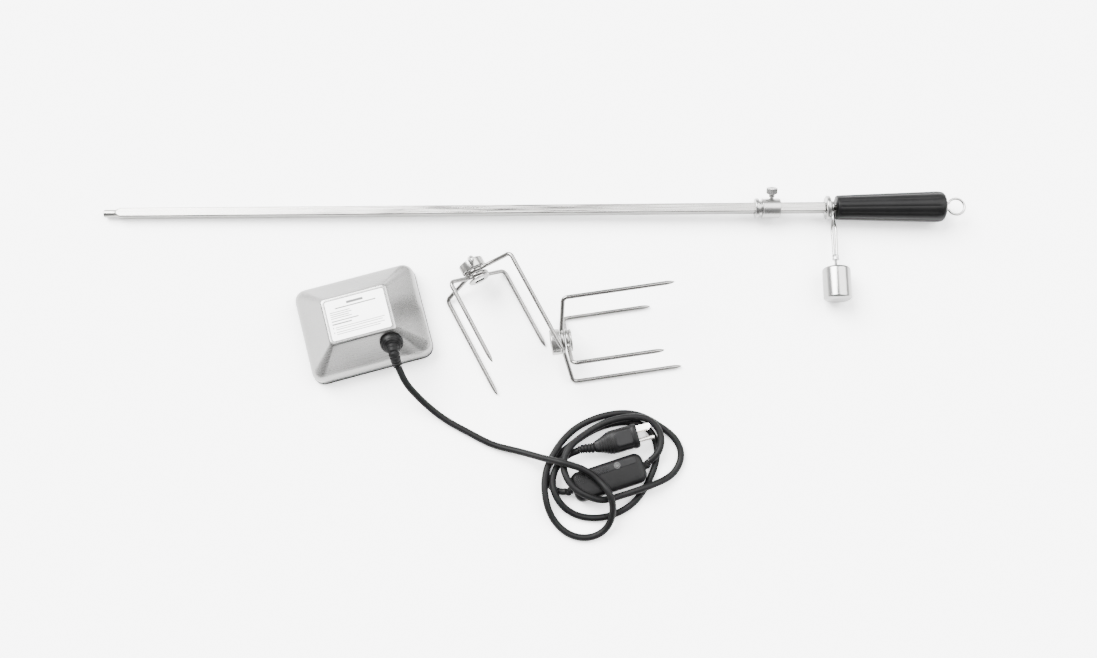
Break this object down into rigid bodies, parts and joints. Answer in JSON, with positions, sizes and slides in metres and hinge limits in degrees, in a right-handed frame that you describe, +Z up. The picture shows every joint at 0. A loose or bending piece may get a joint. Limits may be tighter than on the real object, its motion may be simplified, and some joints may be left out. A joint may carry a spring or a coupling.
{
  "type": "rotisserie kit",
  "caption": "Grill rotisserie kit laid out flat: gear motor with mains lead and inline switch, square spit rod with handle, bushing and counterweight, and pronged meat forks.",
  "frame": {"origin": "on the surface that the kit lies on, under the middle of the box round the motor, spit and forks, without the lead", "axes": "+X along the spit from its thin end to its handle, +Y from the forks towards the spit, +Z up from the surface"},
  "size_m": [0.96, 0.3861, 0.0634],
  "materials": {
    "brushed_cover": "satin brushed, pressed sheet",
    "zinc_steel": "zinc plated",
    "black_rubber": "matt moulded",
    "label": "satin film",
    "black_plastic": "fine moulded texture",
    "black_cord": "satin jacket",
    "brass": "machined",
    "copper_winding": "enamelled wire",
    "white_nylon": "moulded",
    "button_plastic": "moulded",
    "nickel_plate": "nickel plated",
    "drawn_bar": "drawn bar, grain along its length",
    "polished_steel": "polished",
    "grip_plastic": "satin moulded",
    "fork_steel": "turned",
    "prong_wire": "drawn wire"
  },
  "bodies": {
    "motor": {"motor_cover": "brushed_cover", "base_plate": "zinc_steel", "base_gasket": "black_rubber", "rating_label": "label", "cover_post_1": "zinc_steel", "cover_post_2": "zinc_steel", "cover_post_3": "zinc_steel", "cover_post_4": "zinc_steel", "cover_screw_1": "zinc_steel", "cover_screw_2": "zinc_steel", "cover_screw_3": "zinc_steel", "cover_screw_4": "zinc_steel", "cord_gland": "black_plastic", "gland_nut": "black_plastic", "gland_strain_relief": "black_rubber", "gearbox_floor": "zinc_steel", "gearbox_housing": "zinc_steel", "output_bush": "brass", "motor_can": "zinc_steel", "field_coil": "copper_winding", "cord_to_switch": "black_cord", "cord_to_plug": "black_cord", "switch_case_lower": "black_plastic", "switch_case_upper": "black_plastic", "switch_contact_block": "white_nylon", "switch_left_relief": "black_rubber", "switch_right_relief": "black_rubber", "plug_body": "black_plastic", "plug_upper_blade": "nickel_plate", "plug_lower_blade": "nickel_plate", "plug_ground_pin": "nickel_plate", "plug_strain_relief": "black_rubber"},
    "output_drive": {"drive_socket": "zinc_steel", "output_gear": "white_nylon"},
    "idler": {"idler_gear": "white_nylon", "idler_shaft": "zinc_steel"},
    "rotor": {"rotor_pinion": "brass", "rotor_magnet": "zinc_steel"},
    "button": {"switch_button": "button_plastic"},
    "spit": {"spit_rod": "drawn_bar", "end_flange": "polished_steel"},
    "bushing": {"rod_bushing": "polished_steel"},
    "bushing_thumb_screw": {"bushing_screw": "polished_steel"},
    "handle": {"handle_grip": "grip_plastic", "hanging_loop": "polished_steel"},
    "swing_arm": {"counterweight_arm": "polished_steel", "arm_crimp": "zinc_steel", "counterweight_stem": "zinc_steel"},
    "weight": {"counterweight": "polished_steel"},
    "left_fork": {"left_fork_hub": "fork_steel", "left_fork_plate": "fork_steel", "left_fork_long_prongs": "prong_wire", "left_fork_short_prongs": "prong_wire"},
    "left_thumb_screw": {"left_fork_screw": "polished_steel"},
    "right_fork": {"right_fork_hub": "fork_steel", "right_fork_plate": "fork_steel", "right_fork_long_prongs": "prong_wire", "right_fork_short_prongs": "prong_wire"},
    "right_thumb_screw": {"right_fork_screw": "polished_steel"}
  },
  "joints": [
    {"name": "output_spin", "type": "hinge", "parent": "motor", "child": "output_drive", "pos_m": [-0.20059, -0.04911, 0.006], "axis": [0, 0, 1], "continuous": true},
    {"name": "idler_spin", "type": "hinge", "parent": "motor", "child": "idler", "pos_m": [-0.17453, -0.04208, 0.01], "axis": [0, 0, 1], "continuous": true},
    {"name": "rotor_spin", "type": "hinge", "parent": "motor", "child": "rotor", "pos_m": [-0.19153, -0.02514, 0.02], "axis": [0, 0, 1], "continuous": true},
    {"name": "switch_press", "type": "slide", "parent": "motor", "child": "button", "axis": [0, 0, -1], "range_m": [0, 0.0015], "stiffness_N_per_m": 400, "springref_m": -0.001},
    {"name": "spit_lift", "type": "slide", "parent": "motor", "child": "spit", "axis": [0, 0, 1], "range_m": [0, 0.12]},
    {"name": "bushing_slide", "type": "slide", "parent": "spit", "child": "bushing", "axis": [0.9999, 0, 0.014], "range_m": [-0.33, 0.045]},
    {"name": "bushing_screw_turn", "type": "hinge", "parent": "bushing", "child": "bushing_thumb_screw", "pos_m": [0.26448, 0.09204, 0.01589], "axis": [-0.007, 0.866, 0.5], "continuous": true},
    {"name": "handle_turn", "type": "hinge", "parent": "spit", "child": "handle", "pos_m": [0.33257, 0.09204, 0.01685], "axis": [0.9999, 0, 0.014], "continuous": true},
    {"name": "counterweight_swing", "type": "hinge", "parent": "spit", "child": "swing_arm", "pos_m": [0.33257, 0.09204, 0.01685], "axis": [-0.9999, 0, -0.014], "continuous": true},
    {"name": "weight_turn", "type": "hinge", "parent": "swing_arm", "child": "weight", "pos_m": [0.33257, 0.09204, 0.01685], "axis": [0, -1, 0], "continuous": true},
    {"name": "left_fork_lift", "type": "slide", "parent": "motor", "child": "left_fork", "axis": [0, 0, 1], "range_m": [0, 0.12]},
    {"name": "left_screw_turn", "type": "hinge", "parent": "left_fork", "child": "left_thumb_screw", "pos_m": [-0.06617, 0.02198, 0.0318], "axis": [0, 0, 1], "continuous": true},
    {"name": "right_fork_pull", "type": "slide", "parent": "motor", "child": "right_fork", "axis": [0.9898, 0.1426, 0], "range_m": [0, 0.18]},
    {"name": "right_screw_turn", "type": "hinge", "parent": "right_fork", "child": "right_thumb_screw", "pos_m": [0.02358, -0.06283, 0.0318], "axis": [0, 0, 1], "continuous": true}
  ],
  "couplings": [
    {"joint": "idler_spin", "follows": "rotor_spin", "ratio": -0.33333},
    {"joint": "output_spin", "follows": "rotor_spin", "ratio": 0.11667}
  ]
}
